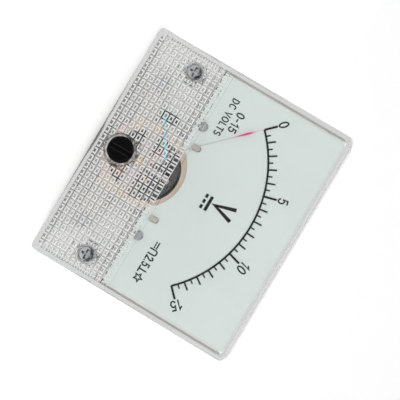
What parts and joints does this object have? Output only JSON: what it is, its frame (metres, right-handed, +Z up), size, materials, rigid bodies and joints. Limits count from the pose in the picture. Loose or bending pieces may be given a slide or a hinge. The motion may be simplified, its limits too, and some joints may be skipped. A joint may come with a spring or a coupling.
{
  "type": "analog panel meter",
  "caption": "Rectangular panel voltmeter: clear moulded cover with prismatic lower band, arc scale, red-tipped pointer, moving-coil movement, round barrel behind, threaded studs and terminals.",
  "frame": {"origin": "middle of the face, on the plane of the panel's front surface, where the flange and the cover's rim rest against the panel", "axes": "-Y is the way the dial faces, +Y goes into the panel, +Z is up on the dial, +X is to the right as the dial is read"},
  "size_m": [0.064, 0.057, 0.056],
  "materials": {
    "clear_plastic": "clear moulded styrene plastic, polished outside, crossed V-grooves behind its lower part",
    "pale_plastic": "pale grey-white moulded plastic, lightly glossy",
    "zinc_steel": "bright zinc-plated steel",
    "nickel_steel": "nickel-plated steel sheet",
    "staff_steel": "hardened and polished steel",
    "brass": "turned brass",
    "tinned_brass": "tinned brass sheet",
    "dial_enamel": "matt off-white enamel on sheet metal",
    "black_print": "matt black print",
    "passivated_steel": "yellow-passivated zinc on stamped steel",
    "soft_iron": "ground soft iron",
    "magnet": "ground dark magnet alloy",
    "bronze_spring": "rolled bronze strip",
    "copper_wire": "fine enamelled copper winding",
    "bare_aluminium": "bare aluminium",
    "pointer_aluminium": "drawn aluminium with a painted red spear",
    "resistor_body": "tan lacquered resistor body with tinned ends",
    "blue_sleeving": "blue sleeved wire",
    "red_sleeving": "red sleeved wire",
    "black_sleeving": "black sleeved wire",
    "black_plastic": "black moulded plastic"
  },
  "bodies": {
    "meter": {"cover": "clear_plastic", "base": "pale_plastic", "rear_cap": "pale_plastic", "rear_cap_screws": "zinc_steel", "mounting_studs": "zinc_steel", "mounting_washers": "zinc_steel", "mounting_spring_washers": "zinc_steel", "mounting_nuts": "zinc_steel", "terminal_stud_left": "brass", "terminal_stud_right": "brass", "terminal_base_nuts": "brass", "solder_lugs": "tinned_brass", "terminal_washers": "brass", "terminal_spring_washers": "zinc_steel", "terminal_nuts": "brass", "dial_plate": "dial_enamel", "scale_marks": "black_print", "dial_screws": "zinc_steel", "movement_frame": "passivated_steel", "frame_screws": "zinc_steel", "stop_pins": "zinc_steel", "yoke_ring": "soft_iron", "magnet_core": "magnet", "core_spacers": "brass", "front_bridge": "nickel_steel", "front_pillars": "brass", "front_bridge_nuts": "brass", "front_jewel_screw": "brass", "rear_bridge": "nickel_steel", "rear_pillars": "brass", "rear_bridge_nuts": "brass", "rear_jewel_screw": "brass", "rear_lock_nut": "brass", "rear_hairspring": "bronze_spring", "resistor": "resistor_body", "lead_blue": "blue_sleeving", "lead_red": "red_sleeving", "lead_link": "black_sleeving"},
    "moving_coil": {"pointer": "pointer_aluminium", "pointer_hub": "bare_aluminium", "balance_weights": "brass", "front_staff": "staff_steel", "rear_staff": "staff_steel", "front_collet": "brass", "rear_collet": "brass", "coil_former": "bare_aluminium", "coil_winding": "copper_wire"},
    "adjuster": {"zero_adjuster": "black_plastic", "adjuster_retainer": "zinc_steel"},
    "lever": {"zero_lever": "nickel_steel", "front_hairspring": "bronze_spring"}
  },
  "joints": [
    {"name": "pointer_turn", "type": "hinge", "parent": "meter", "child": "moving_coil", "pos_m": [-0.0003, -0.008, -0.0155], "axis": [0, 1, 0], "range_deg": [-3, 93], "stiffness_Nm_per_rad": 0.000013},
    {"name": "adjuster_turn", "type": "hinge", "parent": "meter", "child": "adjuster", "pos_m": [-0.0003, -0.0135, -0.0205], "axis": [0, 1, 0], "range_deg": [-45, 45]},
    {"name": "lever_turn", "type": "hinge", "parent": "meter", "child": "lever", "pos_m": [-0.0003, -0.00965, -0.0155], "axis": [0, 1, 0], "range_deg": [-6.2, 6.2]}
  ],
  "couplings": [
    {"joint": "lever_turn", "follows": "adjuster_turn", "ratio": 0.134}
  ]
}
